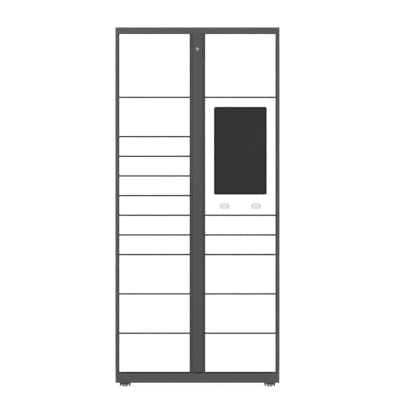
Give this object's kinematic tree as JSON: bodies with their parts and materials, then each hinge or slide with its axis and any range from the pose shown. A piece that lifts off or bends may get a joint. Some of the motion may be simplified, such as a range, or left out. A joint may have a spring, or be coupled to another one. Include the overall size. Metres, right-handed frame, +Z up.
{
  "type": "parcel locker",
  "caption": "Free-standing steel parcel locker: two columns of white hinged doors around a service pillar, with a portrait touch screen and scanner windows.",
  "frame": {"origin": "on the floor below the middle of the cabinet, midway between its foremost and rearmost surfaces", "axes": "+X to the viewer's right, +Y from front to back, +Z up; the doors face -Y"},
  "size_m": [0.96, 0.5, 2.1015],
  "materials": {
    "frame_paint": "dark grey fine-texture powder coat, satin",
    "door_paint": "white powder coat, satin",
    "inner_steel": "dark grey powder coat inside the compartments",
    "zinc": "zinc-plated steel",
    "lock_steel": "galvanised and stamped steel",
    "lock_chrome": "satin chrome",
    "screen_glass": "dark glass of a switched-off display, printed black border",
    "window": "pale translucent window",
    "module_black": "black housing",
    "electronics": "anodised casing",
    "duct_plastic": "grey plastic duct"
  },
  "bodies": {
    "cabinet": {"side_panel_left": "frame_paint", "side_panel_right": "frame_paint", "top_cover": "frame_paint", "base_frame": "frame_paint", "back_panel": "frame_paint", "shelves_left": "inner_steel", "shelves_right": "inner_steel", "pillar_partitions": "frame_paint", "hinge_pins": "frame_paint", "lock_cases": "lock_steel", "cable_trunking": "duct_plastic", "control_computer": "electronics", "power_supply": "electronics"},
    "control_panel": {"control_panel": "door_paint", "display_glass": "screen_glass", "display_module": "module_black", "scan_windows": "window", "reader_modules": "module_black"},
    "pillar_cover": {"pillar_cover": "frame_paint", "lock_barrel": "lock_chrome"},
    "lock_plug": {"lock_plug": "lock_chrome"},
    "door_L01": {"door_L01": "door_paint"},
    "door_L02": {"door_L02": "door_paint"},
    "door_L03": {"door_L03": "door_paint"},
    "door_L04": {"door_L04": "door_paint"},
    "door_L05": {"door_L05": "door_paint"},
    "door_L06": {"door_L06": "door_paint"},
    "door_L07": {"door_L07": "door_paint"},
    "door_L08": {"door_L08": "door_paint"},
    "door_L09": {"door_L09": "door_paint"},
    "door_L10": {"door_L10": "door_paint"},
    "door_L11": {"door_L11": "door_paint"},
    "door_R01": {"door_R01": "door_paint"},
    "door_R02": {"door_R02": "door_paint"},
    "door_R03": {"door_R03": "door_paint"},
    "door_R04": {"door_R04": "door_paint"},
    "door_R05": {"door_R05": "door_paint"},
    "door_R06": {"door_R06": "door_paint"},
    "latch_L01": {"latch_L01": "lock_steel"},
    "latch_L02": {"latch_L02": "lock_steel"},
    "latch_L03": {"latch_L03": "lock_steel"},
    "latch_L04": {"latch_L04": "lock_steel"},
    "latch_L05": {"latch_L05": "lock_steel"},
    "latch_L06": {"latch_L06": "lock_steel"},
    "latch_L07": {"latch_L07": "lock_steel"},
    "latch_L08": {"latch_L08": "lock_steel"},
    "latch_L09": {"latch_L09": "lock_steel"},
    "latch_L10": {"latch_L10": "lock_steel"},
    "latch_L11": {"latch_L11": "lock_steel"},
    "latch_R01": {"latch_R01": "lock_steel"},
    "latch_R02": {"latch_R02": "lock_steel"},
    "latch_R03": {"latch_R03": "lock_steel"},
    "latch_R04": {"latch_R04": "lock_steel"},
    "latch_R05": {"latch_R05": "lock_steel"},
    "latch_R06": {"latch_R06": "lock_steel"},
    "latch_panel": {"latch_panel": "lock_steel"},
    "foot_front_left": {"foot_front_left": "zinc"},
    "foot_front_right": {"foot_front_right": "zinc"},
    "foot_rear_left": {"foot_rear_left": "zinc"},
    "foot_rear_right": {"foot_rear_right": "zinc"}
  },
  "joints": [
    {"name": "control_panel_hinge", "type": "hinge", "parent": "cabinet", "child": "control_panel", "pos_m": [0.45, -0.242, 1.347], "axis": [0, 0, 1], "range_deg": [0, 110]},
    {"name": "pillar_cover_hinge", "type": "hinge", "parent": "cabinet", "child": "pillar_cover", "pos_m": [-0.0205, -0.244, 1.074], "axis": [0, 0, -1], "range_deg": [0, 100]},
    {"name": "lock_plug_turn", "type": "hinge", "parent": "pillar_cover", "child": "lock_plug", "pos_m": [0, -0.248, 1.975], "axis": [0, -1, 0], "range_deg": [0, 90]},
    {"name": "door_L01_hinge", "type": "hinge", "parent": "cabinet", "child": "door_L01", "pos_m": [-0.45, -0.242, 1.87912], "axis": [0, 0, -1], "range_deg": [0, 110]},
    {"name": "door_L02_hinge", "type": "hinge", "parent": "cabinet", "child": "door_L02", "pos_m": [-0.45, -0.242, 1.577], "axis": [0, 0, -1], "range_deg": [0, 110]},
    {"name": "door_L03_hinge", "type": "hinge", "parent": "cabinet", "child": "door_L03", "pos_m": [-0.45, -0.242, 1.4045], "axis": [0, 0, -1], "range_deg": [0, 110]},
    {"name": "door_L04_hinge", "type": "hinge", "parent": "cabinet", "child": "door_L04", "pos_m": [-0.45, -0.242, 1.2895], "axis": [0, 0, -1], "range_deg": [0, 110]},
    {"name": "door_L05_hinge", "type": "hinge", "parent": "cabinet", "child": "door_L05", "pos_m": [-0.45, -0.242, 1.1745], "axis": [0, 0, -1], "range_deg": [0, 110]},
    {"name": "door_L06_hinge", "type": "hinge", "parent": "cabinet", "child": "door_L06", "pos_m": [-0.45, -0.242, 1.0595], "axis": [0, 0, -1], "range_deg": [0, 110]},
    {"name": "door_L07_hinge", "type": "hinge", "parent": "cabinet", "child": "door_L07", "pos_m": [-0.45, -0.242, 0.9445], "axis": [0, 0, -1], "range_deg": [0, 110]},
    {"name": "door_L08_hinge", "type": "hinge", "parent": "cabinet", "child": "door_L08", "pos_m": [-0.45, -0.242, 0.8295], "axis": [0, 0, -1], "range_deg": [0, 110]},
    {"name": "door_L09_hinge", "type": "hinge", "parent": "cabinet", "child": "door_L09", "pos_m": [-0.45, -0.242, 0.657], "axis": [0, 0, -1], "range_deg": [0, 110]},
    {"name": "door_L10_hinge", "type": "hinge", "parent": "cabinet", "child": "door_L10", "pos_m": [-0.45, -0.242, 0.427], "axis": [0, 0, -1], "range_deg": [0, 110]},
    {"name": "door_L11_hinge", "type": "hinge", "parent": "cabinet", "child": "door_L11", "pos_m": [-0.45, -0.242, 0.197], "axis": [0, 0, -1], "range_deg": [0, 110]},
    {"name": "door_R01_hinge", "type": "hinge", "parent": "cabinet", "child": "door_R01", "pos_m": [0.45, -0.242, 1.87912], "axis": [0, 0, 1], "range_deg": [0, 110]},
    {"name": "door_R02_hinge", "type": "hinge", "parent": "cabinet", "child": "door_R02", "pos_m": [0.45, -0.242, 0.9445], "axis": [0, 0, 1], "range_deg": [0, 110]},
    {"name": "door_R03_hinge", "type": "hinge", "parent": "cabinet", "child": "door_R03", "pos_m": [0.45, -0.242, 0.8295], "axis": [0, 0, 1], "range_deg": [0, 110]},
    {"name": "door_R04_hinge", "type": "hinge", "parent": "cabinet", "child": "door_R04", "pos_m": [0.45, -0.242, 0.657], "axis": [0, 0, 1], "range_deg": [0, 110]},
    {"name": "door_R05_hinge", "type": "hinge", "parent": "cabinet", "child": "door_R05", "pos_m": [0.45, -0.242, 0.427], "axis": [0, 0, 1], "range_deg": [0, 110]},
    {"name": "door_R06_hinge", "type": "hinge", "parent": "cabinet", "child": "door_R06", "pos_m": [0.45, -0.242, 0.197], "axis": [0, 0, 1], "range_deg": [0, 110]},
    {"name": "latch_L01_swing", "type": "hinge", "parent": "cabinet", "child": "latch_L01", "pos_m": [-0.022, -0.2, 1.87912], "axis": [0, 0, -1], "range_deg": [0, 60]},
    {"name": "latch_L02_swing", "type": "hinge", "parent": "cabinet", "child": "latch_L02", "pos_m": [-0.022, -0.2, 1.577], "axis": [0, 0, -1], "range_deg": [0, 60]},
    {"name": "latch_L03_swing", "type": "hinge", "parent": "cabinet", "child": "latch_L03", "pos_m": [-0.022, -0.2, 1.4045], "axis": [0, 0, -1], "range_deg": [0, 60]},
    {"name": "latch_L04_swing", "type": "hinge", "parent": "cabinet", "child": "latch_L04", "pos_m": [-0.022, -0.2, 1.2895], "axis": [0, 0, -1], "range_deg": [0, 60]},
    {"name": "latch_L05_swing", "type": "hinge", "parent": "cabinet", "child": "latch_L05", "pos_m": [-0.022, -0.2, 1.1745], "axis": [0, 0, -1], "range_deg": [0, 60]},
    {"name": "latch_L06_swing", "type": "hinge", "parent": "cabinet", "child": "latch_L06", "pos_m": [-0.022, -0.2, 1.0595], "axis": [0, 0, -1], "range_deg": [0, 60]},
    {"name": "latch_L07_swing", "type": "hinge", "parent": "cabinet", "child": "latch_L07", "pos_m": [-0.022, -0.2, 0.9445], "axis": [0, 0, -1], "range_deg": [0, 60]},
    {"name": "latch_L08_swing", "type": "hinge", "parent": "cabinet", "child": "latch_L08", "pos_m": [-0.022, -0.2, 0.8295], "axis": [0, 0, -1], "range_deg": [0, 60]},
    {"name": "latch_L09_swing", "type": "hinge", "parent": "cabinet", "child": "latch_L09", "pos_m": [-0.022, -0.2, 0.657], "axis": [0, 0, -1], "range_deg": [0, 60]},
    {"name": "latch_L10_swing", "type": "hinge", "parent": "cabinet", "child": "latch_L10", "pos_m": [-0.022, -0.2, 0.427], "axis": [0, 0, -1], "range_deg": [0, 60]},
    {"name": "latch_L11_swing", "type": "hinge", "parent": "cabinet", "child": "latch_L11", "pos_m": [-0.022, -0.2, 0.197], "axis": [0, 0, -1], "range_deg": [0, 60]},
    {"name": "latch_R01_swing", "type": "hinge", "parent": "cabinet", "child": "latch_R01", "pos_m": [0.022, -0.2, 1.87912], "axis": [0, 0, 1], "range_deg": [0, 60]},
    {"name": "latch_R02_swing", "type": "hinge", "parent": "cabinet", "child": "latch_R02", "pos_m": [0.022, -0.2, 0.9445], "axis": [0, 0, 1], "range_deg": [0, 60]},
    {"name": "latch_R03_swing", "type": "hinge", "parent": "cabinet", "child": "latch_R03", "pos_m": [0.022, -0.2, 0.8295], "axis": [0, 0, 1], "range_deg": [0, 60]},
    {"name": "latch_R04_swing", "type": "hinge", "parent": "cabinet", "child": "latch_R04", "pos_m": [0.022, -0.2, 0.657], "axis": [0, 0, 1], "range_deg": [0, 60]},
    {"name": "latch_R05_swing", "type": "hinge", "parent": "cabinet", "child": "latch_R05", "pos_m": [0.022, -0.2, 0.427], "axis": [0, 0, 1], "range_deg": [0, 60]},
    {"name": "latch_R06_swing", "type": "hinge", "parent": "cabinet", "child": "latch_R06", "pos_m": [0.022, -0.2, 0.197], "axis": [0, 0, 1], "range_deg": [0, 60]},
    {"name": "latch_panel_swing", "type": "hinge", "parent": "cabinet", "child": "latch_panel", "pos_m": [0.022, -0.2, 1.347], "axis": [0, 0, 1], "range_deg": [0, 60]},
    {"name": "foot_front_left_screw", "type": "slide", "parent": "cabinet", "child": "foot_front_left", "axis": [0, 0, -1], "range_m": [0, 0.015]},
    {"name": "foot_front_right_screw", "type": "slide", "parent": "cabinet", "child": "foot_front_right", "axis": [0, 0, -1], "range_m": [0, 0.015]},
    {"name": "foot_rear_left_screw", "type": "slide", "parent": "cabinet", "child": "foot_rear_left", "axis": [0, 0, -1], "range_m": [0, 0.015]},
    {"name": "foot_rear_right_screw", "type": "slide", "parent": "cabinet", "child": "foot_rear_right", "axis": [0, 0, -1], "range_m": [0, 0.015]}
  ]
}
